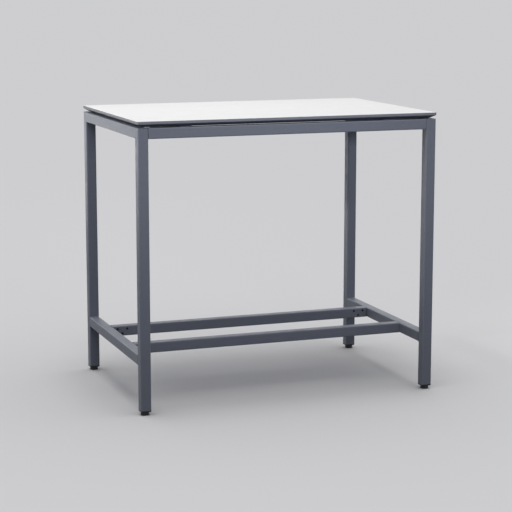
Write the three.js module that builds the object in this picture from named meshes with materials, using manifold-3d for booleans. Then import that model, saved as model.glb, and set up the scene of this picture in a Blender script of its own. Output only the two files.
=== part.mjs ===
// Standing meeting table: a bevelled white top on a square-tube frame with two foot rails.
// Millimetres, +Z up. The origin is on the floor under the middle of the top,
// X runs along the table's length and Y along its depth, with the front at -Y.

import * as THREE from 'three';
import { mergeVertices } from 'three/addons/utils/BufferGeometryUtils.js';
import Module from 'manifold-3d';

// Table top
const TOP_LENGTH = 1200;
const TOP_DEPTH = 800;
const TABLE_HEIGHT = 1100;
const BOARD_THICKNESS = 22;
const LAMINATE_THICKNESS = 0.8;
const GLUE_LINE = 0.1;
const EDGE_HEIGHT = 10.5;
const BEVEL_WIDTH = 20;
const BOARD_CORNER_RADIUS = 2;
const TOP_OVERHANG = 1;

// Square steel tube of the legs and rails
const TUBE_SIDE = 40;
const TUBE_WALL = 2;
const TUBE_CORNER_RADIUS = 4;

// Places of the foot rails, by their middle lines
const FOOT_RAIL_HEIGHT = 207;
const FOOT_RAIL_SPACING = 328;

// Cross member under the top: a folded sheet channel with an end tab lying on each long rail.
// The offsets run from the inner faces of the frame.
const CROSS_MEMBER_OFFSET = 148;
const CROSS_MEMBER_WIDTH = 55;
const CROSS_MEMBER_DEPTH = 36;
const CROSS_MEMBER_SHEET = 2;
const TAB_LENGTH = 24;
const BOARD_SCREW_OFFSET = 129;

// Spigots welded to the end frames, which the long rails slip over
const SPIGOT_LENGTH = 80;
const SPIGOT_WALL = 3;

// Button-head machine screws that hold the rails on their spigots
const MACHINE_SCREW_DIAMETER = 6;
const MACHINE_SCREW_LENGTH = 12;
const MACHINE_HEAD_DIAMETER = 10;
const MACHINE_HEAD_HEIGHT = 3;
const MACHINE_SOCKET_FLATS = 4;
const SCREW_PITCH = 20;
const SCREW_ROW_SPACING = 19;

// Pan-head wood screws that hold the top
const WOOD_SCREW_DIAMETER = 5;
const WOOD_SCREW_BITE = 13;
const WOOD_HEAD_DIAMETER = 9;
const WOOD_HEAD_HEIGHT = 3;
const WOOD_SOCKET_FLATS = 3;
const PILOT_EXTRA_DEPTH = 1;
const ACCESS_HOLE_CLEARANCE = 2;

// Shape that both kinds of screw share
const SCREW_HEAD_RIM = 1.2;
const SCREW_CROWN_INSET = 1.6;
const SCREW_SOCKET_DEPTH = 1.8;
const SCREW_TIP_CHAMFER = 1.2;

// Leg inserts and levelling feet
const INSERT_FLANGE = 4.5;
const INSERT_PLUG = 28;
const STUD_DIAMETER = 10;
const STUD_THREAD_LENGTH = 30;
const STUD_CHAMFER = 1;
const HEX_FLATS = 13;
const HEX_HEIGHT = 3.5;
const HEX_ROOM = 0.7;
const BUTTON_DIAMETER = 14;
const PAD_DIAMETER = 32;
const PAD_HEIGHT = 13.2;
const PAD_SHOULDER_WIDTH = 3;
const PAD_SHOULDER_HEIGHT = 5;
const PAD_FLOOR = 4;
const PAD_LIP = 3.6;
const PAD_EDGE = 1;
const PAD_TO_FLANGE = 0.5;

// Clear space between pieces that meet
const WELD_GAP = 0.3;
const SEAT_GAP = 0.3;
const SLIP_CLEARANCE = 0.3;
const SCREW_CLEARANCE = 0.3;
const CROSS_MEMBER_CLEARANCE = 1;
const CUT_MARGIN = 1;

// Facets of the round pieces
const CORNER_CURVE_SEGMENTS = 2;
const SCREW_SEGMENTS = 10;
const STUD_SEGMENTS = 16;
const PAD_SEGMENTS = 24;
const HEX_SIDES = 6;

// Sizes that follow from the ones above
const HALF_TUBE = TUBE_SIDE / 2;
const TUBE_BORE = TUBE_SIDE - 2 * TUBE_WALL;
const BORE_RADIUS = Math.max(TUBE_CORNER_RADIUS - TUBE_WALL, TUBE_WALL / 4);
const SLIP_SIDE = TUBE_BORE - 2 * SLIP_CLEARANCE;
const FRAME_LENGTH = TOP_LENGTH - 2 * TOP_OVERHANG;
const FRAME_DEPTH = TOP_DEPTH - 2 * TOP_OVERHANG;
const LEG_X = FRAME_LENGTH / 2 - HALF_TUBE;
const LEG_Y = FRAME_DEPTH / 2 - HALF_TUBE;
const INNER_X = LEG_X - HALF_TUBE;
const INNER_Y = LEG_Y - HALF_TUBE;
const BOARD_UNDERSIDE = TABLE_HEIGHT - BOARD_THICKNESS;
const PLATE_TOP = BOARD_UNDERSIDE - SEAT_GAP;
const FRAME_TOP = PLATE_TOP - CROSS_MEMBER_SHEET - SEAT_GAP;
const TOP_RAIL_HEIGHT = FRAME_TOP - HALF_TUBE;
const FOOT_RAIL_Y = FOOT_RAIL_SPACING / 2;
const LONG_RAIL_LENGTH = 2 * (INNER_X - WELD_GAP);
const CROSS_MEMBER_X = INNER_X - CROSS_MEMBER_OFFSET;
const TAB_SCREW_Y = INNER_Y + TAB_LENGTH / 2;
const BOARD_SCREW_Y = INNER_Y - BOARD_SCREW_OFFSET;
const MACHINE_HOLE = MACHINE_SCREW_DIAMETER + 2 * SCREW_CLEARANCE;
const WOOD_HOLE = WOOD_SCREW_DIAMETER + 2 * SCREW_CLEARANCE;
const ACCESS_HOLE = WOOD_HEAD_DIAMETER + 2 * ACCESS_HOLE_CLEARANCE;
const FLANGE_BOTTOM = PAD_HEIGHT + PAD_TO_FLANGE;
const LEG_BOTTOM = FLANGE_BOTTOM + INSERT_FLANGE + SEAT_GAP;
const BUTTON_HEIGHT = PAD_HEIGHT - PAD_LIP - PAD_FLOOR - 2 * SEAT_GAP;
const HEX_BOTTOM = PAD_HEIGHT + SEAT_GAP;
const HEX_CORNERS = HEX_FLATS / Math.cos(Math.PI / HEX_SIDES);

const CORNERS = [
  { name: 'front_left', sideX: -1, sideY: -1 },
  { name: 'front_right', sideX: 1, sideY: -1 },
  { name: 'rear_left', sideX: -1, sideY: 1 },
  { name: 'rear_right', sideX: 1, sideY: 1 },
];
const ENDS = [
  { name: 'left', sideX: -1 },
  { name: 'right', sideX: 1 },
];
const SIDES = [
  { name: 'front', sideY: -1 },
  { name: 'rear', sideY: 1 },
];

// Finishes
const POWDER_COAT = { color: 0x858a96, roughness: 0.45, metalness: 0 };
const LAMINATE = { color: 0xeff0ef, roughness: 0.41, metalness: 0 };
const LACQUERED_EDGE = { color: 0x9599a1, roughness: 0.58, metalness: 0 };
const BLACK_PLASTIC = { color: 0x1f1f22, roughness: 0.52, metalness: 0 };
const BLACK_STEEL = { color: 0x2d2d2f, roughness: 0.43, metalness: 0.55 };
const ZINC_STEEL = { color: 0xcbcdce, roughness: 0.34, metalness: 1 };

const wasm = await Module();
wasm.setup();

// One closed mesh with shared vertices and no flattened triangles.
function closedMesh(geometry) {
  const bare = geometry.clone();
  bare.deleteAttribute('normal');
  bare.deleteAttribute('uv');
  const merged = mergeVertices(bare);
  const corners = merged.index.array;
  const kept = [];
  for (let i = 0; i < corners.length; i += 3) {
    const [a, b, c] = [corners[i], corners[i + 1], corners[i + 2]];
    if (a !== b && b !== c && c !== a) kept.push(a, b, c);
  }
  merged.setIndex(kept);
  return merged;
}

function toSolid(geometry) {
  const closed = closedMesh(geometry);
  return new wasm.Manifold(new wasm.Mesh({
    numProp: 3,
    vertProperties: new Float32Array(closed.attributes.position.array),
    triVerts: new Uint32Array(closed.index.array),
  }));
}

function fromSolid(solid) {
  const { vertProperties, triVerts } = solid.getMesh();
  const geometry = new THREE.BufferGeometry();
  geometry.setAttribute('position', new THREE.BufferAttribute(vertProperties, 3));
  geometry.setIndex(new THREE.BufferAttribute(triVerts, 1));
  return geometry;
}

function cut(geometry, tools) {
  return fromSolid(tools.reduce((solid, tool) => solid.subtract(toSolid(tool)), toSolid(geometry)));
}

function join(geometry, others) {
  return fromSolid(others.reduce((solid, other) => solid.add(toSolid(other)), toSolid(geometry)));
}

// Rectangle with rounded corners, centred on the origin.
function roundedRectangle(ShapeClass, width, depth, radius) {
  const x = width / 2 - radius;
  const y = depth / 2 - radius;
  const outline = new ShapeClass();
  outline.absarc(x, y, radius, 0, Math.PI / 2);
  outline.absarc(-x, y, radius, Math.PI / 2, Math.PI);
  outline.absarc(-x, -y, radius, Math.PI, 1.5 * Math.PI);
  outline.absarc(x, -y, radius, 1.5 * Math.PI, 2 * Math.PI);
  outline.closePath();
  return outline;
}

function extrude(shape, depth, steps = 1) {
  return new THREE.ExtrudeGeometry(shape, {
    depth,
    steps,
    bevelEnabled: false,
    curveSegments: CORNER_CURVE_SEGMENTS,
  });
}

// Square bar along Z, standing on z = 0.
function squareBar(side, radius, height) {
  return extrude(roundedRectangle(THREE.Shape, side, side, radius), height);
}

// Square tube along Z, centred on the origin.
function squareTube(side, wall, radius, length) {
  const bore = side - 2 * wall;
  const boreRadius = Math.max(radius - wall, wall / 4);
  const shape = roundedRectangle(THREE.Shape, side, side, radius);
  shape.holes.push(roundedRectangle(THREE.Path, bore, bore, boreRadius));
  return extrude(shape, length).translate(0, 0, -length / 2);
}

function frameTube(length) {
  return squareTube(TUBE_SIDE, TUBE_WALL, TUBE_CORNER_RADIUS, length);
}

// Turns a bar along Z so that it runs along X or Y.
function alongX(geometry) {
  return geometry.rotateY(Math.PI / 2);
}

function alongY(geometry) {
  return geometry.rotateX(-Math.PI / 2);
}

// Mitres an end of a bar along Z: the end keeps its length on one side of Y
// and loses as much as it goes across on the other.
function mitreEnd(geometry, end, longSideY) {
  const position = geometry.attributes.position;
  for (let i = 0; i < position.count; i += 1) {
    if (position.getZ(i) * end > 0) {
      const across = HALF_TUBE - longSideY * position.getY(i);
      position.setZ(i, position.getZ(i) - end * across);
    }
  }
  return geometry;
}

// Round cutter or bar along Z between two heights.
function roundBar(diameter, from, to, segments) {
  const bar = new THREE.CylinderGeometry(diameter / 2, diameter / 2, to - from, segments);
  return bar.rotateX(Math.PI / 2).translate(0, 0, (from + to) / 2);
}

// Body of revolution about Z from [radius, height] pairs.
function turned(profile, segments) {
  const points = profile.map(([radius, height]) => new THREE.Vector2(radius, height));
  return new THREE.LatheGeometry(points, segments).rotateX(Math.PI / 2);
}

function piece(name, geometry, finish, x, y, z) {
  const shown = closedMesh(geometry);
  shown.computeVertexNormals();
  const mesh = new THREE.Mesh(shown, new THREE.MeshStandardMaterial(finish));
  mesh.name = name;
  mesh.position.set(x, y, z);
  return mesh;
}

// Table top: a board with an upright edge over an undercut bevel, and a laminate sheet glued on it

function boardOutline() {
  return roundedRectangle(THREE.Shape, TOP_LENGTH, TOP_DEPTH, BOARD_CORNER_RADIUS);
}

// Core with its underside at z = 0: the lower layer of the outline is drawn in by the bevel.
function boardCore() {
  const coreTop = BOARD_THICKNESS - LAMINATE_THICKNESS - GLUE_LINE;
  const bevelTop = BOARD_THICKNESS - EDGE_HEIGHT;
  const layerHeights = [0, bevelTop, coreTop];
  const core = extrude(boardOutline(), layerHeights.length - 1, layerHeights.length - 1);
  const position = core.attributes.position;
  for (let i = 0; i < position.count; i += 1) {
    const layer = Math.round(position.getZ(i));
    position.setZ(i, layerHeights[layer]);
    if (layer === 0) {
      position.setX(i, position.getX(i) - Math.sign(position.getX(i)) * BEVEL_WIDTH);
      position.setY(i, position.getY(i) - Math.sign(position.getY(i)) * BEVEL_WIDTH);
    }
  }
  const pilotDepth = WOOD_SCREW_BITE + PILOT_EXTRA_DEPTH;
  const pilots = CORNERS.flatMap(({ sideX, sideY }) => [TAB_SCREW_Y, BOARD_SCREW_Y].map((y) =>
    roundBar(WOOD_HOLE, -CUT_MARGIN, pilotDepth, SCREW_SEGMENTS)
      .translate(sideX * CROSS_MEMBER_X, sideY * y, 0)));
  return cut(core, pilots);
}

function tableTop() {
  const group = new THREE.Group();
  const laminateBottom = TABLE_HEIGHT - LAMINATE_THICKNESS;
  group.add(piece('tabletop_core', boardCore(), LACQUERED_EDGE, 0, 0, BOARD_UNDERSIDE));
  group.add(piece('tabletop_laminate', extrude(boardOutline(), LAMINATE_THICKNESS), LAMINATE,
    0, 0, laminateBottom));
  return group;
}

// End frames: two legs, a mitred rail across their tops and a cross rail near the floor

function leg(sideY) {
  const length = FRAME_TOP - LEG_BOTTOM;
  return mitreEnd(frameTube(length), 1, sideY);
}

function endRail() {
  const length = FRAME_DEPTH - 2 * WELD_GAP * Math.SQRT2;
  const upperSide = 1;
  const rail = mitreEnd(mitreEnd(frameTube(length), 1, upperSide), -1, upperSide);
  return rail.rotateX(Math.PI / 2);
}

function endFrames() {
  const group = new THREE.Group();
  const legMiddle = (FRAME_TOP + LEG_BOTTOM) / 2;
  for (const { name, sideX, sideY } of CORNERS) {
    group.add(piece(`leg_${name}`, leg(sideY), POWDER_COAT, sideX * LEG_X, sideY * LEG_Y, legMiddle));
  }
  for (const { name, sideX } of ENDS) {
    const crossRail = alongY(frameTube(2 * (INNER_Y - WELD_GAP)));
    group.add(piece(`end_rail_${name}`, endRail(), POWDER_COAT, sideX * LEG_X, 0, TOP_RAIL_HEIGHT));
    group.add(piece(`cross_rail_${name}`, crossRail, POWDER_COAT, sideX * LEG_X, 0, FOOT_RAIL_HEIGHT));
  }
  return group;
}

// Places of the three screws at a rail's end: distance from the end frame, and height from the middle
const SCREW_PATTERN = [-1, 0, 1].map((step) => ({
  along: WELD_GAP + SPIGOT_LENGTH / 2 + step * SCREW_PITCH,
  up: (step === 0 ? -1 : 1) * SCREW_ROW_SPACING / 2,
}));
const TOP_RAIL_SCREW = SCREW_PATTERN[1];

// Hole along Y through the wall of a rail and of the spigot in it, on the face towards the table's middle.
function wallHole(sideY, x, z) {
  const start = -HALF_TUBE - CUT_MARGIN;
  const end = -HALF_TUBE + TUBE_WALL + SLIP_CLEARANCE + SPIGOT_WALL + CUT_MARGIN;
  const hole = roundBar(MACHINE_HOLE, start, end, SCREW_SEGMENTS);
  return hole.rotateX(-sideY * Math.PI / 2).translate(x, 0, z);
}

function spigot(sideX, sideY, screws) {
  const radius = Math.max(BORE_RADIUS - SLIP_CLEARANCE, SPIGOT_WALL / 4);
  const tube = alongX(squareTube(SLIP_SIDE, SPIGOT_WALL, radius, SPIGOT_LENGTH));
  const outerEnd = WELD_GAP + SPIGOT_LENGTH / 2;
  return cut(tube, screws.map(({ along, up }) => wallHole(sideY, sideX * (outerEnd - along), up)));
}

function longRail(sideY, screws, extraCuts) {
  const holes = ENDS.flatMap(({ sideX }) => screws.map(({ along, up }) =>
    wallHole(sideY, sideX * (INNER_X - along), up)));
  return cut(alongX(frameTube(LONG_RAIL_LENGTH)), [...holes, ...extraCuts]);
}

// Screw hole in the top wall of a long top rail, with the hole below it that lets the driver in.
function tabScrewCuts(sideY) {
  const y = sideY * (TAB_SCREW_Y - LEG_Y);
  return ENDS.flatMap(({ sideX }) => [
    roundBar(WOOD_HOLE, 0, TUBE_SIDE, SCREW_SEGMENTS),
    roundBar(ACCESS_HOLE, -TUBE_SIDE, 0, SCREW_SEGMENTS),
  ].map((hole) => hole.translate(sideX * CROSS_MEMBER_X, y, 0)));
}

function longRails() {
  const group = new THREE.Group();
  for (const { name, sideY } of SIDES) {
    group.add(piece(`top_rail_${name}`, longRail(sideY, [TOP_RAIL_SCREW], tabScrewCuts(sideY)),
      POWDER_COAT, 0, sideY * LEG_Y, TOP_RAIL_HEIGHT));
    group.add(piece(`foot_rail_${name}`, longRail(sideY, SCREW_PATTERN, []),
      POWDER_COAT, 0, sideY * FOOT_RAIL_Y, FOOT_RAIL_HEIGHT));
  }
  for (const { name, sideX, sideY } of CORNERS) {
    const x = sideX * (INNER_X - WELD_GAP - SPIGOT_LENGTH / 2);
    group.add(piece(`top_spigot_${name}`, spigot(sideX, sideY, [TOP_RAIL_SCREW]),
      POWDER_COAT, x, sideY * LEG_Y, TOP_RAIL_HEIGHT));
    group.add(piece(`foot_spigot_${name}`, spigot(sideX, sideY, SCREW_PATTERN),
      POWDER_COAT, x, sideY * FOOT_RAIL_Y, FOOT_RAIL_HEIGHT));
  }
  return group;
}

// Cross members: a flat top plate, two upright flanges between the rails, and a tab on each rail

function crossMember() {
  const plateLength = 2 * (INNER_Y + TAB_LENGTH);
  const flangeLength = 2 * (INNER_Y - CROSS_MEMBER_CLEARANCE);
  const plate = new THREE.BoxGeometry(CROSS_MEMBER_WIDTH, plateLength, CROSS_MEMBER_SHEET);
  plate.translate(0, 0, -CROSS_MEMBER_SHEET / 2);
  const flangeX = (CROSS_MEMBER_WIDTH - CROSS_MEMBER_SHEET) / 2;
  const flanges = ENDS.map(({ sideX }) => {
    const flange = new THREE.BoxGeometry(CROSS_MEMBER_SHEET, flangeLength, CROSS_MEMBER_DEPTH);
    return flange.translate(sideX * flangeX, 0, -CROSS_MEMBER_DEPTH / 2);
  });
  const holes = SIDES.flatMap(({ sideY }) => [TAB_SCREW_Y, BOARD_SCREW_Y].map((y) =>
    roundBar(WOOD_HOLE, -CROSS_MEMBER_SHEET - CUT_MARGIN, CUT_MARGIN, SCREW_SEGMENTS)
      .translate(0, sideY * y, 0)));
  return cut(join(plate, flanges), holes);
}

function crossMembers() {
  const group = new THREE.Group();
  for (const { name, sideX } of ENDS) {
    group.add(piece(`cross_member_${name}`, crossMember(), POWDER_COAT,
      sideX * CROSS_MEMBER_X, 0, PLATE_TOP));
  }
  return group;
}

// Screws stand with the seat of the head at z = 0 and the shank along +Z.
function screw(diameter, length, headDiameter, headHeight, socketFlats) {
  const headRadius = headDiameter / 2;
  const radius = diameter / 2;
  const body = turned([
    [0, -headHeight],
    [headRadius - SCREW_CROWN_INSET, -headHeight],
    [headRadius, -SCREW_HEAD_RIM],
    [headRadius, 0],
    [radius, 0],
    [radius, length - SCREW_TIP_CHAMFER],
    [radius - SCREW_TIP_CHAMFER, length],
    [0, length],
  ], SCREW_SEGMENTS);
  const socketCorners = socketFlats / Math.cos(Math.PI / HEX_SIDES);
  const socketFloor = SCREW_SOCKET_DEPTH - headHeight;
  const socket = roundBar(socketCorners, -headHeight - CUT_MARGIN, socketFloor, HEX_SIDES);
  return cut(body, [socket]);
}

function machineScrew() {
  return screw(MACHINE_SCREW_DIAMETER, MACHINE_SCREW_LENGTH, MACHINE_HEAD_DIAMETER,
    MACHINE_HEAD_HEIGHT, MACHINE_SOCKET_FLATS);
}

function woodScrew(seatHeight) {
  const length = BOARD_UNDERSIDE + WOOD_SCREW_BITE - seatHeight;
  return screw(WOOD_SCREW_DIAMETER, length, WOOD_HEAD_DIAMETER, WOOD_HEAD_HEIGHT, WOOD_SOCKET_FLATS);
}

// Machine screw in a rail's inner face, driven away from the table's middle.
function railScrew(name, sideX, sideY, { along, up }, railY, railHeight) {
  const seatY = railY - HALF_TUBE - SEAT_GAP;
  const mesh = piece(name, machineScrew(), BLACK_STEEL,
    sideX * (INNER_X - along), sideY * seatY, railHeight + up);
  mesh.rotation.x = -sideY * Math.PI / 2;
  return mesh;
}

function screws() {
  const group = new THREE.Group();
  const tabSeat = FRAME_TOP - TUBE_WALL - SEAT_GAP;
  const boardSeat = PLATE_TOP - CROSS_MEMBER_SHEET - SEAT_GAP;
  for (const { name, sideX, sideY } of CORNERS) {
    SCREW_PATTERN.forEach((place, i) => {
      group.add(railScrew(`foot_rail_screw_${name}_${i + 1}`, sideX, sideY, place,
        FOOT_RAIL_Y, FOOT_RAIL_HEIGHT));
    });
    group.add(railScrew(`top_rail_screw_${name}`, sideX, sideY, TOP_RAIL_SCREW, LEG_Y, TOP_RAIL_HEIGHT));
    group.add(piece(`tab_screw_${name}`, woodScrew(tabSeat), ZINC_STEEL,
      sideX * CROSS_MEMBER_X, sideY * TAB_SCREW_Y, tabSeat));
    group.add(piece(`board_screw_${name}`, woodScrew(boardSeat), ZINC_STEEL,
      sideX * CROSS_MEMBER_X, sideY * BOARD_SCREW_Y, boardSeat));
  }
  return group;
}

// Feet: an insert pressed into each leg, a levelling stud in its thread, and a pad snapped on the stud

function legInsert() {
  const overlap = INSERT_FLANGE / 2;
  const flange = squareBar(TUBE_SIDE, TUBE_CORNER_RADIUS, INSERT_FLANGE);
  const plugRadius = Math.max(BORE_RADIUS - SLIP_CLEARANCE, TUBE_WALL / 4);
  const plug = squareBar(SLIP_SIDE, plugRadius, INSERT_PLUG + overlap);
  plug.translate(0, 0, INSERT_FLANGE - overlap);
  const bore = STUD_DIAMETER + 2 * SCREW_CLEARANCE;
  const recessDepth = HEX_BOTTOM + HEX_HEIGHT + HEX_ROOM - FLANGE_BOTTOM;
  return cut(join(flange, [plug]), [
    roundBar(bore, -CUT_MARGIN, INSERT_FLANGE + INSERT_PLUG + CUT_MARGIN, STUD_SEGMENTS),
    roundBar(HEX_CORNERS + 2 * HEX_ROOM, -CUT_MARGIN, recessDepth, STUD_SEGMENTS),
  ]);
}

function levellingStud() {
  const radius = STUD_DIAMETER / 2;
  const buttonBottom = PAD_FLOOR + SEAT_GAP;
  const buttonTop = buttonBottom + BUTTON_HEIGHT;
  const hexTop = HEX_BOTTOM + HEX_HEIGHT;
  const tip = hexTop + STUD_THREAD_LENGTH;
  const body = turned([
    [0, buttonBottom],
    [BUTTON_DIAMETER / 2, buttonBottom],
    [BUTTON_DIAMETER / 2, buttonTop],
    [radius, buttonTop],
    [radius, tip - STUD_CHAMFER],
    [radius - STUD_CHAMFER, tip],
    [0, tip],
  ], STUD_SEGMENTS);
  return join(body, [roundBar(HEX_CORNERS, HEX_BOTTOM, hexTop, HEX_SIDES)]);
}

function levellingPad() {
  const radius = PAD_DIAMETER / 2;
  const socketRadius = BUTTON_DIAMETER / 2 + SCREW_CLEARANCE;
  const mouthRadius = STUD_DIAMETER / 2 + SCREW_CLEARANCE;
  const socketTop = PAD_FLOOR + BUTTON_HEIGHT + 2 * SEAT_GAP;
  return turned([
    [0, 0],
    [radius - PAD_EDGE, 0],
    [radius, PAD_EDGE],
    [radius, PAD_HEIGHT - PAD_SHOULDER_HEIGHT],
    [radius - PAD_SHOULDER_WIDTH, PAD_HEIGHT],
    [mouthRadius, PAD_HEIGHT],
    [mouthRadius, socketTop],
    [socketRadius, socketTop],
    [socketRadius, PAD_FLOOR],
    [0, PAD_FLOOR],
  ], PAD_SEGMENTS);
}

function feet() {
  const group = new THREE.Group();
  for (const { name, sideX, sideY } of CORNERS) {
    const x = sideX * LEG_X;
    const y = sideY * LEG_Y;
    group.add(piece(`leg_insert_${name}`, legInsert(), BLACK_PLASTIC, x, y, FLANGE_BOTTOM));
    group.add(piece(`levelling_stud_${name}`, levellingStud(), ZINC_STEEL, x, y, 0));
    group.add(piece(`levelling_pad_${name}`, levellingPad(), BLACK_PLASTIC, x, y, 0));
  }
  return group;
}

const table = new THREE.Group();
table.add(tableTop(), endFrames(), longRails(), crossMembers(), screws(), feet());

export default table;
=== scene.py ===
"""Standing meeting table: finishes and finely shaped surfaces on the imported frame.

Metres, +X along the table to the right, +Y to the rear, +Z up, the floor at zero.
"""

import math

import bmesh
import bpy
import numpy as np
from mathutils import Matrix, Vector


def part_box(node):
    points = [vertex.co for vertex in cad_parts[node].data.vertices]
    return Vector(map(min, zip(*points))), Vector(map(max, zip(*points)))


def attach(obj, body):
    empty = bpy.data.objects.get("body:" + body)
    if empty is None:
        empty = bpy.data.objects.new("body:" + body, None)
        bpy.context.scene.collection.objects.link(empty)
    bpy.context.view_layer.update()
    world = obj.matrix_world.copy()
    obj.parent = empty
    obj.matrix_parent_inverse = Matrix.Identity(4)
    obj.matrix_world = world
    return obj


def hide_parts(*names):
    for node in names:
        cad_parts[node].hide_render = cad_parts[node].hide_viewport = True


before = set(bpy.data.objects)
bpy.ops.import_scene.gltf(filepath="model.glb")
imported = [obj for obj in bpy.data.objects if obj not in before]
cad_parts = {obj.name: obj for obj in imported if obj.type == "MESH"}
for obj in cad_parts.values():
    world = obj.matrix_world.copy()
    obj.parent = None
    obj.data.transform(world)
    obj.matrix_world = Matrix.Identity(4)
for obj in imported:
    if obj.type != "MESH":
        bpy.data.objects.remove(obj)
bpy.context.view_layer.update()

MM = 0.001
CORNERS = {
    "front_left": (-1, -1),
    "front_right": (1, -1),
    "rear_left": (-1, 1),
    "rear_right": (1, 1),
}
ENDS = {"left": -1, "right": 1}
SIDES = {"front": -1, "rear": 1}
X_AXIS, Y_AXIS, Z_AXIS = 0, 1, 2

# Table top
EDGE_HEIGHT = 10.5 * MM
BEVEL_WIDTH = 20 * MM
BOARD_CORNER = 2 * MM
BOARD_EASE = 0.4 * MM
LAMINATE_EASE = 0.25 * MM
BOARD_ARC_STEPS = 6
BOARD_SHARES = np.array([0.002, 0.1, 0.25, 0.5, 0.75, 0.9, 0.998])

# Frame tube
TUBE_WALL = 2 * MM
TUBE_CORNER = 4 * MM
TUBE_EASE = 0.35 * MM
RAIL_END_EASE = 0.9 * MM
TUBE_ARC_STEPS = 8
TUBE_SHARES = np.array([0.03, 0.5, 0.97])
RAIL_SHARES = np.arange(1, 16) / 16
HOLE_RADIUS = 6.5 * MM
HOLE_BLOCK = 8 * MM
HOLE_STEP = 2 * MM
HOLE_EASE = 0.4 * MM

# Welds under the powder coat
WELD_PROUD = 0.12 * MM
WELD_FILLET = 2.2 * MM
WELD_HALF_WIDTH = 1.8 * MM
WELD_RIPPLE = 0.12

# Folded cross members
SHEET = 2 * MM
BEND_RADIUS = 2 * MM
BEND_STEPS = 8
TAB_REACH = 25 * MM

# Screws and feet
SCREW_HEAD = 3 * MM
SCREW_RIM = 1.2 * MM
SOCKET_DEPTH = 1.8 * MM
PAD_SHOULDER_WIDTH = 3 * MM
PAD_SHOULDER_HEIGHT = 5 * MM
PAD_FLOOR = 4 * MM
PAD_LIP = 3.6 * MM
STUD_RADIUS = 5 * MM
STUD_PITCH = 1.5 * MM
THREAD_CLEARANCE = 0.3 * MM
HEX_CORNERS = 6.5 * MM / math.cos(math.pi / 6)
HEX_HEIGHT = 3.5 * MM
RECESS_ROOM = 0.7 * MM

MERGE_DISTANCE = 0.002 * MM


def node_box(node):
    """Lowest and highest corner of a CAD node, as arrays in metres."""
    low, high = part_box(node)
    return np.array(low), np.array(high)


def cells_of(rows, columns, rows_close=False):
    """Corner numbers of the cells between neighbouring grid points; the columns close on themselves."""
    row = np.arange(rows if rows_close else rows - 1)
    column = np.arange(columns)
    row, column = np.meshgrid(row, column, indexing="ij")
    next_row = (row + 1) % rows
    next_column = (column + 1) % columns
    corners = [
        row * columns + column,
        row * columns + next_column,
        next_row * columns + next_column,
        next_row * columns + column,
    ]
    return np.stack(corners, axis=-1).reshape(-1, 4)


def enclosed_volume(points, cells):
    """Sum over both halves of each cell of a sixth of first corner . (second x third), above zero if faces point out."""
    a, b, c, d = (points[cells[:, k]] for k in range(4))
    return np.sum(a * np.cross(b, c)) / 6 + np.sum(a * np.cross(c, d)) / 6


def finished_piece(name, points, cells, body, finish, stands_for=(), rub=None, crease=35.0):
    """Mesh piece from grid points and cells: faces turned outwards, meeting points merged, creases kept sharp."""
    points = points.reshape(-1, 3)
    if enclosed_volume(points, cells) < 0:
        cells = cells[:, ::-1]
    mesh = bpy.data.meshes.new(name)
    mesh.from_pydata(points.tolist(), [], cells.tolist())
    if rub is not None:
        mesh.attributes.new("rub", "FLOAT", "POINT")
        mesh.attributes["rub"].data.foreach_set("value", rub.astype(np.float32).ravel())
    merged = bmesh.new()
    merged.from_mesh(mesh)
    bmesh.ops.remove_doubles(merged, verts=merged.verts, dist=MERGE_DISTANCE)
    merged.to_mesh(mesh)
    merged.free()
    mesh.shade_smooth()
    mesh.set_sharp_from_angle(angle=math.radians(crease))
    mesh.materials.append(finish)
    piece = bpy.data.objects.new(name, mesh)
    bpy.context.scene.collection.objects.link(piece)
    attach(piece, body)
    if stands_for:
        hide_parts(*stands_for)
    return piece


def rounded_outline(half_x, half_y, radius, arc_steps, shares):
    """Rectangles with round corners, anticlockwise, one for each entry of the size arrays.

    At each corner a quarter circle about the corner's centre; then the flat to the next corner, with points
    at the given shares of its length.
    """
    half_x, half_y, radius = np.broadcast_arrays(half_x, half_y, radius)
    quarter = np.arange(4)[:, None] * math.pi / 2 + np.linspace(0, math.pi / 2, arc_steps + 1)
    centre_x = (half_x - radius)[:, None] * np.array([1, -1, -1, 1])
    centre_y = (half_y - radius)[:, None] * np.array([1, 1, -1, -1])
    arc_x = centre_x[:, :, None] + radius[:, None, None] * np.cos(quarter)
    arc_y = centre_y[:, :, None] + radius[:, None, None] * np.sin(quarter)
    arcs = np.stack([arc_x, arc_y], axis=-1)
    leaving = arcs[:, :, -1:]
    arriving = np.roll(arcs[:, :, :1], -1, axis=1)
    flats = leaving + (arriving - leaving) * shares[:, None]
    return np.concatenate([arcs, flats], axis=2).reshape(len(radius), -1, 2)


def corner_rub(arc_steps, shares):
    """How much each outline point is rubbed: the sine of twice the angle round a corner, nothing on the flats."""
    arc = np.sin(2 * np.linspace(0, math.pi / 2, arc_steps + 1))
    return np.tile(np.concatenate([arc, np.zeros(len(shares))]), 4)


def layered_board(low, high, insets, heights):
    """Board's outline moved in by each row's inset at that row's height; a row inset by half the depth is a line."""
    centre = (low + high) / 2
    half = (high - low) / 2
    radii = np.where(insets < half[1], BOARD_CORNER, 0.0)
    outline = rounded_outline(half[0] - insets, half[1] - insets, radii, BOARD_ARC_STEPS, BOARD_SHARES)
    levels = np.broadcast_to(heights[:, None, None], outline.shape[:2] + (1,))
    points = np.concatenate([outline + centre[:2], levels], axis=2)
    return points, cells_of(*points.shape[:2])


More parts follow.
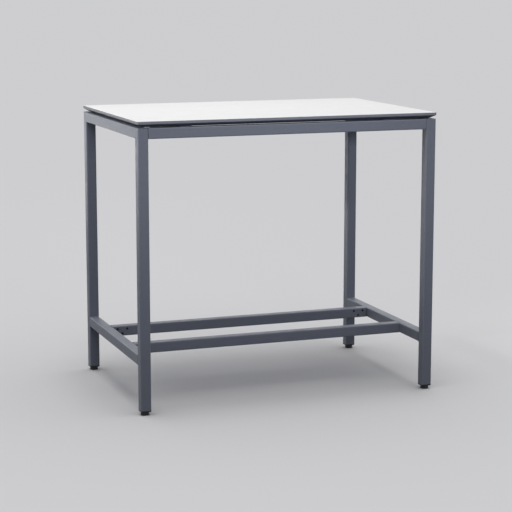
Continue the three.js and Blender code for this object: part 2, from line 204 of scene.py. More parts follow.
def square_tube(low, high, axis, mitres=(None, None), shares=TUBE_SHARES, stations=(), ease=TUBE_EASE):
    """Wall section carried round the tube's rounded outline: along the skin, over one end, back in the bore.

    The mitres at start and end each name the outline's coordinate across the cut and the long side's sign:
    the end is drawn back by as much as a point lies in from the long side. Stations are further places along
    the tube. The ends are bevelled by the ease.
    """
    start_mitre, end_mitre = mitres
    across = (axis + 1) % 3
    up = (axis + 2) % 3
    centre = (low + high) / 2
    half = (high[across] - low[across]) / 2
    between = (np.asarray(stations, float) - low[axis]) / (high[axis] - low[axis])
    skin_share = np.concatenate([[0, 0], between, [1, 1]])
    skin_shift = np.concatenate([[1, 4], 0 * between, [-4, -1]]) * ease
    share = np.concatenate([skin_share, [1, 1], skin_share[::-1], [0, 0]])
    shift = np.concatenate([skin_shift, [0, 0], skin_shift[::-1], [0, 0]])
    end_depth = np.array([ease, TUBE_WALL - ease])
    skin_depth = np.zeros(len(skin_share))
    depth = np.concatenate([skin_depth, end_depth, skin_depth + TUBE_WALL, end_depth[::-1]])
    outline = rounded_outline(half - depth, half - depth, TUBE_CORNER - depth, TUBE_ARC_STEPS, shares)
    start = low[axis] + mitre_setback(outline, half, start_mitre)
    end = high[axis] - mitre_setback(outline, half, end_mitre)
    points = np.empty(outline.shape[:2] + (3,))
    points[..., across] = centre[across] + outline[..., 0]
    points[..., up] = centre[up] + outline[..., 1]
    points[..., axis] = start + share[:, None] * (end - start) + shift[:, None]
    rub = np.where(depth[:, None] < TUBE_WALL, corner_rub(TUBE_ARC_STEPS, shares), 0.0)
    return points, cells_of(*points.shape[:2], rows_close=True), rub


def mitre_setback(outline, half, mitre):
    """How far a mitred end is drawn back at each outline point: its distance in from the long side."""
    if mitre is None:
        return np.zeros(outline.shape[:2])
    coordinate, long_side = mitre
    return half - long_side * outline[..., coordinate]


def pierced_rail(points, cells, hole_places, rail_bottom):
    """Rail with round holes in its bottom wall.

    The square blocks of cells round each hole are left out of skin and bore; a collar fills each block: the
    square's edge in the bore drawn in to the hole's circle, down the hole, and out again to the square below.
    """
    bore = rail_bottom + TUBE_WALL
    flat_points = points.reshape(-1, 3)
    middles = flat_points[cells].mean(axis=1)
    from_hole = np.abs(middles[:, None, :2] - hole_places).max(axis=2).min(axis=1)
    kept = cells[(from_hole > HOLE_BLOCK) | (middles[:, 2] > bore + 0.1 * MM)]
    side_shares = np.arange(1, 8) / 8
    block = np.array([HOLE_BLOCK])
    square = rounded_outline(block, block, np.zeros(1), 0, side_shares)[0]
    angle = math.pi / 4 + 2 * math.pi * np.arange(len(square)) / len(square)
    circle = np.stack([np.cos(angle), np.sin(angle)], axis=1)
    eased = (HOLE_RADIUS + HOLE_EASE) * circle
    hole = HOLE_RADIUS * circle
    rings = np.stack([square, eased, hole, hole, eased, square])
    levels = np.array([bore, bore, bore - HOLE_EASE, rail_bottom + HOLE_EASE, rail_bottom, rail_bottom])
    heights = np.broadcast_to(levels[:, None, None], rings.shape[:2] + (1,))
    collar = np.concatenate([rings, heights], axis=2)
    shifts = np.concatenate([hole_places, np.zeros((len(hole_places), 1))], axis=1)
    collars = (collar[None] + shifts[:, None, None]).reshape(-1, 3)
    collar_cells = cells_of(*collar.shape[:2])
    starts = len(flat_points) + np.arange(len(hole_places)) * rings.shape[0] * rings.shape[1]
    all_cells = np.concatenate([kept, (collar_cells[None] + starts[:, None, None]).reshape(-1, 4)])
    return np.concatenate([flat_points, collars]), all_cells


def weld_bead(seam, outward, lengthwise, proud, half_width):
    """Ellipse carried round a closed seam: seam + outward x proud x cosine + lengthwise x half width x sine."""
    turn = np.linspace(0, 2 * math.pi, 12, endpoint=False)
    ripple = 1 + WELD_RIPPLE * np.sin(np.arange(len(seam)) * 2.1)
    reach = (proud * ripple)[:, None, None] * np.cos(turn)[None, :, None]
    width = half_width[:, None, None] * np.sin(turn)[None, :, None]
    points = seam[:, None] + outward[:, None] * reach + lengthwise[:, None] * width
    return points, cells_of(*points.shape[:2], rows_close=True)


def outline_normals(arc_steps, shares):
    """Directions square to a rounded outline: turning with the arcs and steady along each flat."""
    angle = np.arange(4)[:, None] * math.pi / 2 + np.linspace(0, math.pi / 2, arc_steps + 1)
    steady = np.repeat(angle[:, -1:], len(shares), axis=1)
    angle = np.concatenate([angle, steady], axis=1).ravel()
    return np.stack([np.cos(angle), np.sin(angle)], axis=1)


def folded_channel(low, high, flange_half):
    """Sheet folded to a channel: a middle line of flange, bend, plate, bend, flange, thickened to both sides.

    Each point of the line is carried along Y over its own half length: the plate's reaches out to the tabs,
    the bends' and flanges' stop short of the rails.
    """
    half_width = (high[0] - low[0]) / 2
    middle_radius = BEND_RADIUS + SHEET / 2
    bend_x = half_width - SHEET - BEND_RADIUS
    bend_z = high[2] - SHEET - BEND_RADIUS
    turn = np.linspace(0, math.pi / 2, BEND_STEPS + 1)
    fold_x = np.concatenate([[half_width - SHEET / 2] * 2, bend_x + middle_radius * np.cos(turn), [bend_x - SHEET / 50]])
    fold_z = np.concatenate([[low[2], bend_z - 0.5 * MM], bend_z + middle_radius * np.sin(turn), [high[2] - SHEET / 2]])
    fold_way = np.concatenate([[0, 0], turn, [math.pi / 2]])
    fold_half = np.concatenate([[flange_half] * (BEND_STEPS + 3), [(high[1] - low[1]) / 2]])
    line_x = np.concatenate([fold_x, -fold_x[::-1]])
    line_z = np.concatenate([fold_z, fold_z[::-1]])
    way = np.concatenate([fold_way, math.pi - fold_way[::-1]])
    half_length = np.concatenate([fold_half, fold_half[::-1]])
    lift = SHEET / 2
    loop_x = np.concatenate([line_x + lift * np.cos(way), (line_x - lift * np.cos(way))[::-1]])
    loop_z = np.concatenate([line_z + lift * np.sin(way), (line_z - lift * np.sin(way))[::-1]])
    loop_half = np.concatenate([half_length, half_length[::-1]])
    share = np.array([-1.0, 1.0])
    points = np.empty((2, len(loop_x), 3))
    points[..., 0] = (low[0] + high[0]) / 2 + loop_x
    points[..., 1] = share[:, None] * loop_half
    points[..., 2] = loop_z
    count = len(line_x)
    step = np.arange(count - 1)
    facing = 2 * count - 1 - step
    front_cap = np.stack([step, step + 1, facing - 1, facing], axis=1)
    rear_cap = front_cap[:, ::-1] + 2 * count
    return points, np.concatenate([cells_of(2, 2 * count), front_cap[:, ::-1], rear_cap[:, ::-1]])


def turned(profile, columns, hexed=None, thread=None, pitch=1.0, turn=0.0):
    """Profile of radii and heights turned about Z.

    Rows marked hexed follow a hexagon with that corner radius: cosine of 30 degrees over the cosine of the
    angle from the nearest flat. Rows with thread depth are cut back by a triangle wave of height over pitch
    less angle over a full turn, so that the crest climbs one pitch in each turn to the right.
    """
    radius = profile[:, :1]
    height = profile[:, 1:]
    angle = np.linspace(0, 2 * math.pi, columns, endpoint=False)[None]
    sixth = math.pi / 3
    hexagon = math.cos(sixth / 2) / np.cos((angle + turn) % sixth - sixth / 2)
    rows = len(profile)
    hexed = np.zeros((rows, 1)) if hexed is None else hexed[:, None]
    thread = np.zeros((rows, 1)) if thread is None else thread[:, None]
    climb = (height / pitch - (angle + turn) / (2 * math.pi)) % 1
    valley = np.abs(2 * climb - 1)
    reach = radius * (1 + hexed * (hexagon - 1)) - thread * valley
    points = np.empty((rows, columns, 3))
    points[..., 0] = reach * np.cos(angle)
    points[..., 1] = reach * np.sin(angle)
    points[..., 2] = height
    return points, cells_of(rows, columns)


def screw_surface(radius, length, head_radius, socket_corners, pitch, thread_depth, point_length, turn):
    """Button-head screw along +Z from its seat: socket floor, socket wall, domed head, threaded shank and tip."""
    dome = np.linspace(0, math.pi / 2, 9)
    crown = 0.62 * head_radius
    dome_radii = crown + (head_radius - crown) * np.sin(dome)
    dome_heights = -SCREW_RIM - (SCREW_HEAD - SCREW_RIM) * np.cos(dome)
    socket_floor = SOCKET_DEPTH - SCREW_HEAD
    lip = 0.25 * MM
    head = np.array([
        [0.0, socket_floor + 0.4 * MM],
        [0.75 * socket_corners, socket_floor],
        [socket_corners, socket_floor],
        [socket_corners, -SCREW_HEAD + lip],
        [socket_corners + lip, -SCREW_HEAD],
    ])
    rim = np.array([[head_radius, -0.2 * MM], [head_radius - 0.2 * MM, 0.0], [radius, 0.0], [radius, 0.3 * MM]])
    thread_heights = np.arange(0.6 * MM, length - point_length, pitch / 6)
    shank = np.stack([np.full(len(thread_heights), radius), thread_heights], axis=1)
    tip_share = np.linspace(0, 1, 7)
    tip_radii = radius - (radius - 0.3 * radius) * tip_share ** 1.5
    tip = np.stack([tip_radii, length - point_length * (1 - tip_share)], axis=1)
    dome_rows = np.stack([dome_radii, dome_heights], axis=1)
    profile = np.concatenate([head, dome_rows, rim, shank, tip, [[0.0, length]]])
    hexed = np.zeros(len(profile))
    hexed[1:4] = 1.0
    thread = np.zeros(len(profile))
    first = len(head) + len(dome_rows) + len(rim)
    thread[first:first + len(shank)] = thread_depth
    thread[first:first + 6] *= np.linspace(0, 1, 6)
    thread[first + len(shank):-1] = thread_depth * (1 - tip_share)
    return turned(profile, 36, hexed, thread, pitch, turn)


def stud_surface(low, high, seat, turn):
    """Levelling stud: domed button, plain neck, chamfered hexagon, then the threaded shank with its blunt tip."""
    button_radius = (high[0] - low[0]) / 2
    button_radius = min(button_radius, 7 * MM)
    bottom = low[2]
    button_top = bottom + 5 * MM
    hex_top = seat + HEX_HEIGHT
    bevel = 0.45 * MM
    flats = HEX_CORNERS * math.cos(math.pi / 6)
    lower = np.array([
        [0.0, bottom],
        [button_radius - 1.4 * MM, bottom],
        [button_radius - 0.4 * MM, bottom + 0.5 * MM],
        [button_radius, bottom + 1.5 * MM],
        [button_radius, button_top - 0.5 * MM],
        [button_radius - 0.5 * MM, button_top],
        [STUD_RADIUS + 0.1 * MM, button_top],
        [STUD_RADIUS - 0.1 * MM, button_top + 0.3 * MM],
        [STUD_RADIUS - 0.1 * MM, seat],
        [flats, seat],
        [HEX_CORNERS, seat + bevel],
        [HEX_CORNERS, hex_top - bevel],
        [flats, hex_top],
        [STUD_RADIUS, hex_top],
        [STUD_RADIUS, hex_top + 0.2 * MM],
    ])
    heights = np.arange(hex_top + 0.5 * MM, high[2] - 1.2 * MM, STUD_PITCH / 8)
    shank = np.stack([np.full(len(heights), STUD_RADIUS), heights], axis=1)
    tip = np.array([[STUD_RADIUS, high[2] - 1.1 * MM], [STUD_RADIUS - 1 * MM, high[2]], [0.0, high[2]]])
    profile = np.concatenate([lower, shank, tip])
    hexed = np.zeros(len(profile))
    hexed[10:12] = 1.0
    thread = np.zeros(len(profile))
    first = len(lower)
    thread[first:first + len(shank)] = 0.9 * MM
    thread[first:first + 8] *= np.linspace(0, 1, 8)
    thread[first + len(shank)] = 0.9 * MM
    return turned(profile, 48, hexed, thread, STUD_PITCH, turn)


def pad_profile(low, high):
    """Section of a round foot: ringed sole, eased edge, swept shoulder, lip over the ball socket, socket wall."""
    radius = (high[0] - low[0]) / 2
    height = high[2] - low[2]
    ring = np.linspace(3.5 * MM, radius - 2.5 * MM, 37)
    groove = 0.5 * MM * (0.5 - 0.5 * np.cos((ring - ring[0]) / (ring[-1] - ring[0]) * 8 * math.pi))
    sole = np.concatenate([[[0.0, 0.0], [2.5 * MM, 0.0]], np.stack([ring, groove], axis=1)])
    edge_turn = np.linspace(-math.pi / 2, 0, 7)
    edge = np.stack([radius - 1.2 * MM + 1.2 * MM * np.cos(edge_turn), 1.2 * MM + 1.2 * MM * np.sin(edge_turn)], axis=1)
    sweep = np.linspace(0, 1, 13)
    shoulder_start = height - PAD_SHOULDER_HEIGHT
    shoulder_radii = radius - PAD_SHOULDER_WIDTH * (1 - np.cos(sweep * math.pi / 2)) - 0.15 * MM * sweep
    shoulder_heights = shoulder_start + (PAD_SHOULDER_HEIGHT - 0.3 * MM) * np.sin(sweep * math.pi / 2)
    shoulder = np.stack([shoulder_radii, shoulder_heights], axis=1)
    mouth = STUD_RADIUS + THREAD_CLEARANCE
    socket = 7 * MM + THREAD_CLEARANCE
    lip_bottom = height - PAD_LIP
    inside = np.array([
        [shoulder_radii[-1] - 0.4 * MM, height],
        [shoulder_radii[-1] - 1.2 * MM, height],
        [mouth + 1.0 * MM, height],
        [mouth + 0.3 * MM, height],
        [mouth, height - 0.4 * MM],
        [mouth, lip_bottom + 0.2 * MM],
        [mouth + 0.2 * MM, lip_bottom],
        [socket, lip_bottom],
        [socket, PAD_FLOOR + 0.4 * MM],
        [socket - 0.4 * MM, PAD_FLOOR],
        [0.0, PAD_FLOOR],
    ])
    profile = np.concatenate([sole, edge, shoulder, inside])
    return profile + np.array([0.0, low[2]])


def insert_surface(low, high, stud_seat):
    """Moulded leg insert: square flange and chamfered square plug outside, round recess and bore inside."""
    centre = (low + high) / 2
    flange = (high[0] - low[0]) / 2
    plug = 17.7 * MM
    flange_top = low[2] + 4.5 * MM
    recess_top = stud_seat + HEX_HEIGHT + RECESS_ROOM
    recess = HEX_CORNERS + RECESS_ROOM
    bore = STUD_RADIUS + THREAD_CLEARANCE
    ease = 0.35 * MM
    squares = np.array([
        [flange - ease, low[2]],
        [flange, low[2] + ease],
        [flange, flange_top - ease],
        [flange - ease, flange_top],
        [plug, flange_top],
        [plug, flange_top + 0.3 * MM],
        [plug, high[2] - 1.5 * MM],
        [plug - 1.5 * MM, high[2]],
    ])
    rounds = np.array([
        [bore + ease, high[2]],
        [bore, high[2] - ease],
        [bore, recess_top],
        [recess, recess_top],
        [recess, low[2] + ease],
        [recess + ease, low[2]],
    ])
    corner = np.where(squares[:, 0] > plug, TUBE_CORNER, 1.8 * MM)
    outline = rounded_outline(squares[:, 0], squares[:, 0], corner, TUBE_ARC_STEPS, RAIL_SHARES)
    middle_outline = rounded_outline(np.array([flange]), np.array([flange]), np.array([TUBE_CORNER]), TUBE_ARC_STEPS, RAIL_SHARES)
    direction = middle_outline / np.linalg.norm(middle_outline, axis=2, keepdims=True)
    circles = rounds[:, 0][:, None, None] * direction
    rings = np.concatenate([outline, circles])
    levels = np.concatenate([squares[:, 1], rounds[:, 1]])
    heights = np.broadcast_to(levels[:, None, None], rings.shape[:2] + (1,))
    points = np.concatenate([rings + centre[:2], heights], axis=2)
    return points, cells_of(*points.shape[:2], rows_close=True)


def new_finish(name, colour, roughness, metallic=0.0):
    """Material with one Principled shader at the finish's even values."""
    finish = bpy.data.materials.new(name)
    finish.use_nodes = True
    shader = finish.node_tree.nodes["Principled BSDF"]
    shader.inputs["Base Color"].default_value = (*colour, 1.0)
    shader.inputs["Roughness"].default_value = roughness
    shader.inputs["Metallic"].default_value = metallic
    return finish, shader


def grain(finish, size, stretch=(1.0, 1.0, 1.0), detail=2.0):
    """Noise with grains of the given size in metres, drawn out along an axis where its stretch is below one."""
    tree = finish.node_tree
    place = tree.nodes.new("ShaderNodeTexCoord")
    mapping = tree.nodes.new("ShaderNodeMapping")
    mapping.inputs["Scale"].default_value = stretch
    noise = tree.nodes.new("ShaderNodeTexNoise")
    noise.inputs["Scale"].default_value = 1.0 / size
    noise.inputs["Detail"].default_value = detail
    tree.links.new(place.outputs["Object"], mapping.inputs["Vector"])
    tree.links.new(mapping.outputs["Vector"], noise.inputs["Vector"])
    return noise.outputs["Fac"]


def height_above_floor(finish):
    """Height of the surface point in the piece's own frame, in metres."""
    tree = finish.node_tree
    place = tree.nodes.new("ShaderNodeTexCoord")
    parts = tree.nodes.new("ShaderNodeSeparateXYZ")
    tree.links.new(place.outputs["Object"], parts.inputs["Vector"])
    return parts.outputs["Z"]


def rubbed_edges(finish):
    """The piece's own rub attribute, one along its worn corners and nothing elsewhere."""
    node = finish.node_tree.nodes.new("ShaderNodeAttribute")
    node.attribute_name = "rub"
    return node.outputs["Fac"]


def spread(finish, value, from_low, from_high, to_low, to_high):
    """A value between two limits laid over another range, held at its ends."""
    node = finish.node_tree.nodes.new("ShaderNodeMapRange")
    node.inputs["From Min"].default_value = from_low
    node.inputs["From Max"].default_value = from_high
    node.inputs["To Min"].default_value = to_low
    node.inputs["To Max"].default_value = to_high
    finish.node_tree.links.new(value, node.inputs["Value"])
    return node.outputs["Result"]


def combine(finish, operation, first, second):
    """Two values added, multiplied or otherwise put together; the second may be a plain number."""
    node = finish.node_tree.nodes.new("ShaderNodeMath")
    node.operation = operation
    finish.node_tree.links.new(first, node.inputs[0])
    if isinstance(second, float):
        node.inputs[1].default_value = second
    else:
        finish.node_tree.links.new(second, node.inputs[1])
    return node.outputs["Value"]


def between_colours(finish, value, first, second):
    """Colour that goes from the first to the second as the value goes from 0 to 1; each is a colour or a socket."""
    node = finish.node_tree.nodes.new("ShaderNodeMix")
    node.data_type = "RGBA"
    finish.node_tree.links.new(value, node.inputs[0])
    for colour, socket in ((first, node.inputs[6]), (second, node.inputs[7])):
        if isinstance(colour, tuple):
            socket.default_value = (*colour, 1.0)
        else:
            finish.node_tree.links.new(colour, socket)
    return node.outputs[2]


def raised(finish, value, height, strength, under=None):
    """Normal of a surface raised by the value times the height in metres, over an earlier one where given."""
    node = finish.node_tree.nodes.new("ShaderNodeBump")
    node.inputs["Strength"].default_value = strength
    node.inputs["Distance"].default_value = height
    finish.node_tree.links.new(value, node.inputs["Height"])
    if under is not None:
        finish.node_tree.links.new(under, node.inputs["Normal"])
    return node.outputs["Normal"]


def drive(finish, shader, socket, value):
    """Joins a worked-out value to one of the shader's sockets."""
    finish.node_tree.links.new(value, shader.inputs[socket])


def shade_of(colour, factor):
    """The colour made lighter or darker by a factor."""
    return tuple(channel * factor for channel in colour)


def powder_coat_finish(name, ripple_size, ripple_height):
    """Fine-textured powder coat: pebbled bump, faint mottling, a thinner and smoother film on rubbed corners."""
    coat = (0.236, 0.254, 0.306)
    finish, shader = new_finish(name, coat, 0.44)
    shader.inputs["Specular IOR Level"].default_value = 0.22
    pebbles = grain(finish, 1.1 * MM, detail=1.0)
    ripple = grain(finish, ripple_size, detail=2.0)
    mottle = spread(finish, grain(finish, 18 * MM, detail=3.0), 0.3, 0.7, 0.0, 1.0)
    specks = spread(finish, grain(finish, 0.6 * MM, detail=0.0), 0.62, 0.75, 0.0, 0.35)
    worn = combine(finish, "MULTIPLY", rubbed_edges(finish), spread(finish, grain(finish, 6 * MM), 0.35, 0.7, 0.1, 0.6))
    colour = between_colours(finish, mottle, shade_of(coat, 0.975), shade_of(coat, 1.025))
    colour = between_colours(finish, specks, colour, shade_of(coat, 0.8))
    colour = between_colours(finish, worn, colour, shade_of(coat, 1.3))
    drive(finish, shader, "Base Color", colour)
    sheen = spread(finish, grain(finish, 30 * MM, detail=3.0), 0.3, 0.7, 0.40, 0.50)
    drive(finish, shader, "Roughness", combine(finish, "SUBTRACT", sheen, combine(finish, "MULTIPLY", worn, 0.15)))
    normal = raised(finish, pebbles, 0.14 * MM, 0.65)
    drive(finish, shader, "Normal", raised(finish, ripple, ripple_height, 0.5, normal))
    return finish


def white_laminate_finish():
    """Matt white laminate: pressed fine grain, clouds too faint to name, hair-fine wiping marks in the sheen."""
    white = (0.865, 0.868, 0.862)
    finish, shader = new_finish("white_laminate", white, 0.42)
    shader.inputs["Specular IOR Level"].default_value = 0.12
    clouds = spread(finish, grain(finish, 60 * MM, detail=3.0), 0.3, 0.7, 0.0, 1.0)
    fleck = spread(finish, grain(finish, 1.2 * MM, detail=2.0), 0.58, 0.75, 0.0, 0.5)
    colour = between_colours(finish, clouds, shade_of(white, 0.985), shade_of(white, 1.01))
    colour = between_colours(finish, fleck, colour, shade_of(white, 0.955))
    drive(finish, shader, "Base Color", colour)
    wiped = grain(finish, 1.5 * MM, stretch=(0.02, 1.0, 1.0), detail=2.0)
    drive(finish, shader, "Roughness", spread(finish, wiped, 0.35, 0.65, 0.36, 0.46))
    drive(finish, shader, "Normal", raised(finish, grain(finish, 0.7 * MM, detail=2.0), 0.05 * MM, 0.25))
    return finish


def lacquered_board_finish():
    """Grey lacquer on a fibreboard edge, its layers showing faintly; painted shade darkens the bevel and underside."""
    lacquer = (0.300, 0.317, 0.358)
    # Painted shade: a dark bluish grey on the bevel and underside that stands for the shadow under the board's
    # overhang.
    bevel_painted_shade = (0.118, 0.126, 0.172)
    finish, shader = new_finish("grey_lacquer", lacquer, 0.58)
    shader.inputs["Specular IOR Level"].default_value = 0.15
    layers = grain(finish, 1.0 * MM, stretch=(0.03, 0.03, 1.0), detail=3.0)
    clouds = spread(finish, grain(finish, 25 * MM, detail=3.0), 0.3, 0.7, 0.0, 1.0)
    streaks = spread(finish, layers, 0.5, 0.75, 0.0, 0.5)
    colour = between_colours(finish, clouds, shade_of(lacquer, 0.96), shade_of(lacquer, 1.04))
    colour = between_colours(finish, streaks, colour, shade_of(lacquer, 0.82))
    painted_shade_colour = between_colours(finish, clouds, shade_of(bevel_painted_shade, 0.92), shade_of(bevel_painted_shade, 1.08))
    # The painted shade covers everything below the foot of the upright edge.
    painted_shade_below_edge = spread(finish, height_above_floor(finish), PAINTED_SHADE_TOP - BOARD_EASE, PAINTED_SHADE_TOP, 1.0, 0.0)
    drive(finish, shader, "Base Color", between_colours(finish, painted_shade_below_edge, colour, painted_shade_colour))
    drive(finish, shader, "Roughness", spread(finish, layers, 0.35, 0.65, 0.52, 0.66))
    fibres = grain(finish, 0.8 * MM, detail=2.0)
    normal = raised(finish, layers, 0.1 * MM, 0.35)
    drive(finish, shader, "Normal", raised(finish, fibres, 0.06 * MM, 0.3, normal))
    return finish


def black_plastic_finish():
    """Moulded black plastic: spark-eroded grain, cloudy sheen, grey scuffs and floor dust towards the sole."""
    black = (0.014, 0.014, 0.016)
    finish, shader = new_finish("moulded_black_plastic", black, 0.5)
    spark = grain(finish, 0.5 * MM, detail=2.0)
    near_floor = spread(finish, height_above_floor(finish), 0.0, 6 * MM, 1.0, 0.0)
    scuffs = spread(finish, grain(finish, 2.5 * MM, stretch=(1.0, 1.0, 3.0), detail=4.0), 0.5, 0.72, 0.0, 0.7)
    clouds = spread(finish, grain(finish, 5 * MM, detail=2.0), 0.3, 0.7, 0.0, 1.0)
    colour = between_colours(finish, clouds, shade_of(black, 0.8), shade_of(black, 1.3))
    colour = between_colours(finish, combine(finish, "MULTIPLY", near_floor, scuffs), colour, (0.085, 0.083, 0.08))
    drive(finish, shader, "Base Color", colour)
    drive(finish, shader, "Roughness", spread(finish, clouds, 0.0, 1.0, 0.44, 0.6))
    drive(finish, shader, "Normal", raised(finish, spark, 0.08 * MM, 0.4))
    return finish


def black_oxide_finish():
    """Black-oxide steel: dark brown-black skin with thin patches, a fine turned grain and an oily sheen."""
    skin = (0.026, 0.026, 0.029)
    finish, shader = new_finish("black_oxide_steel", skin, 0.42, metallic=0.55)
    patches = spread(finish, grain(finish, 1.6 * MM, detail=4.0), 0.35, 0.7, 0.0, 1.0)
    colour = between_colours(finish, patches, shade_of(skin, 0.75), (0.05, 0.048, 0.047))
    drive(finish, shader, "Base Color", colour)
    drive(finish, shader, "Roughness", spread(finish, patches, 0.0, 1.0, 0.34, 0.52))
    drive(finish, shader, "Normal", raised(finish, grain(finish, 0.25 * MM, detail=2.0), 0.02 * MM, 0.35))
    return finish


def zinc_finish():
    """Bright zinc plate: cool grey metal with a faint straw and blue bloom, drawn grain and dull patches."""
    zinc = (0.60, 0.61, 0.62)
    finish, shader = new_finish("zinc_plated_steel", zinc, 0.32, metallic=1.0)
    bloom = spread(finish, grain(finish, 4 * MM, detail=3.0), 0.35, 0.65, 0.0, 1.0)
    dull = spread(finish, grain(finish, 1.2 * MM, detail=4.0), 0.45, 0.7, 0.0, 0.6)
    colour = between_colours(finish, bloom, (0.62, 0.60, 0.55), (0.56, 0.60, 0.65))
    colour = between_colours(finish, dull, colour, (0.42, 0.43, 0.44))
    drive(finish, shader, "Base Color", colour)
    drive(finish, shader, "Roughness", spread(finish, dull, 0.0, 0.6, 0.26, 0.46))
    drawn = grain(finish, 0.3 * MM, stretch=(1.0, 1.0, 0.15), detail=2.0)
    drive(finish, shader, "Normal", raised(finish, drawn, 0.015 * MM, 0.4))
    return finish


powder_coat = powder_coat_finish("powder_coat_on_tube", 5 * MM, 0.03 * MM)
coated_weld = powder_coat_finish("powder_coat_on_weld", 1.8 * MM, 0.18 * MM)
white_laminate = white_laminate_finish()
# Height where the painted shade on the bevel and underside begins: the foot of the upright edge.
PAINTED_SHADE_TOP = node_box("tabletop_laminate")[1][2] - EDGE_HEIGHT
grey_lacquer = lacquered_board_finish()
black_plastic = black_plastic_finish()
black_oxide = black_oxide_finish()
zinc_plate = zinc_finish()


def make_table_top():
    """Board with upright edge and undercut bevel, and the white laminate lying on it."""
    low, high = node_box("tabletop_core")
    laminate_low, laminate_high = node_box("tabletop_laminate")
    half_depth = (high[1] - low[1]) / 2
    edge_bottom = laminate_high[2] - EDGE_HEIGHT
    slope = (edge_bottom - low[2]) / BEVEL_WIDTH
    ease = BOARD_EASE
    core_rows = np.array([
        [half_depth, low[2]],
        [BEVEL_WIDTH + 3 * ease, low[2]],
        [BEVEL_WIDTH + 0.5 * ease, low[2]],
        [BEVEL_WIDTH - 0.5 * ease, low[2] + 0.5 * ease * slope],
        [4 * ease, edge_bottom - 4 * ease * slope],
        [ease, edge_bottom - ease * slope],
        [0.25 * ease, edge_bottom + 0.2 * ease],
        [0.0, edge_bottom + ease],
        [0.0, edge_bottom + 3 * ease],
        [0.0, high[2] - 3 * ease],
        [0.0, high[2] - ease],
        [0.3 * ease, high[2] - 0.3 * ease],
        [ease, high[2]],
        [4 * ease, high[2]],
        [half_depth, high[2]],
    ])
    points, cells = layered_board(low, high, core_rows[:, 0], core_rows[:, 1])
    finished_piece("lacquered_board", points, cells, "table", grey_lacquer, ["tabletop_core"])
    low, high = laminate_low, laminate_high
    ease = LAMINATE_EASE
    sheet_rows = np.array([
        [half_depth, low[2]],
        [4 * ease, low[2]],
        [0.0, low[2]],
        [0.0, high[2] - ease],
        [0.1 * ease, high[2] - 0.6 * ease],
        [0.35 * ease, high[2] - 0.25 * ease],
        [0.7 * ease, high[2] - 0.05 * ease],
        [1.2 * ease, high[2]],
        [6 * ease, high[2]],
        [half_depth, high[2]],
    ])
    points, cells = layered_board(low, high, sheet_rows[:, 0], sheet_rows[:, 1])
    finished_piece("white_top", points, cells, "table", white_laminate, ["tabletop_laminate"])


def coated_tube(name, node, points, cells, rub):
    """One powder-coated tube that stands for its CAD node."""
    finished_piece(name, points, cells, "table", powder_coat, [node], rub)


def make_end_frames():
    """Legs mitred under the end rails, low rails between the legs, and the welds that hold them."""
    for corner, (side_x, side_y) in CORNERS.items():
        node = f"leg_{corner}"
        low, high = node_box(node)
        coated_tube(f"coated_leg_{corner}", node, *square_tube(low, high, Z_AXIS, (None, (1, side_y))))
    for end in ENDS:
        node = f"end_rail_{end}"
        low, high = node_box(node)
        mitre = (0, 1)
        coated_tube(f"coated_end_rail_{end}", node, *square_tube(low, high, Y_AXIS, (mitre, mitre)))
        node = f"cross_rail_{end}"
        low, high = node_box(node)
        coated_tube(f"coated_low_rail_{end}", node, *square_tube(low, high, Y_AXIS))
    for corner, (side_x, side_y) in CORNERS.items():
        make_mitre_weld(corner, side_y)
        make_low_weld(corner, side_x, side_y)


def make_mitre_weld(corner, side_y):
    """Bead round the slanting seam of leg and end rail: flush on the sides, a fillet in the inner corner."""
    low, high = node_box(f"leg_{corner}")
    centre = (low + high) / 2
    half = np.array([(high[0] - low[0]) / 2])
    outline = rounded_outline(half, half, np.array([TUBE_CORNER]), TUBE_ARC_STEPS, RAIL_SHARES)[0]
    normal = outline_normals(TUBE_ARC_STEPS, RAIL_SHARES)
    inward = -side_y * normal[:, 1]
    setback = half - side_y * outline[:, 1]
    seam = np.stack([outline[:, 0] + centre[0], outline[:, 1] + centre[1], high[2] - setback], axis=1)
    outward = np.stack([normal[:, 0], normal[:, 1], side_y * normal[:, 1]], axis=1)
    outward = outward / np.linalg.norm(outward, axis=1, keepdims=True)
    slant = np.array([0.0, side_y, -1.0]) / math.sqrt(2)
    lengthwise = np.broadcast_to(slant, seam.shape)
    proud = WELD_PROUD + WELD_FILLET * 0.5 * np.clip(inward, 0, 1)
    half_width = WELD_HALF_WIDTH * (1 - 0.85 * np.clip(-inward, 0, 1))
    points, cells = weld_bead(seam, outward, lengthwise, proud, half_width)
    finished_piece(f"mitre_weld_{corner}", points, cells, "table", coated_weld, crease=60.0)


def make_low_weld(corner, side_x, side_y):
    """Bead round the low rail's end on the leg: fillets above and below, flush on the sides."""
    end = corner.split("_")[1]
    low, high = node_box(f"cross_rail_{end}")
    leg_low, leg_high = node_box(f"leg_{corner}")
    centre = (low + high) / 2
    half = np.array([(high[0] - low[0]) / 2])
    outline = rounded_outline(half, half, np.array([TUBE_CORNER]), TUBE_ARC_STEPS, RAIL_SHARES)[0]
    normal = outline_normals(TUBE_ARC_STEPS, RAIL_SHARES)
    leg_face = leg_low[1] if side_y > 0 else leg_high[1]
    reach = np.full(len(outline), leg_face - side_y * 0.15 * MM)
    seam = np.stack([outline[:, 1] + centre[0], reach, outline[:, 0] + centre[2]], axis=1)
    outward = np.stack([normal[:, 1], np.zeros(len(normal)), normal[:, 0]], axis=1)
    lengthwise = np.broadcast_to(np.array([0.0, 1.0, 0.0]), seam.shape)
    above = np.abs(normal[:, 0])
    proud = WELD_PROUD + WELD_FILLET * 0.8 * above ** 2
    half_width = WELD_HALF_WIDTH * (0.45 + 0.55 * above)
    points, cells = weld_bead(seam, outward, lengthwise, proud, half_width)
    finished_piece(f"low_rail_weld_{corner}", points, cells, "table", coated_weld, crease=60.0)


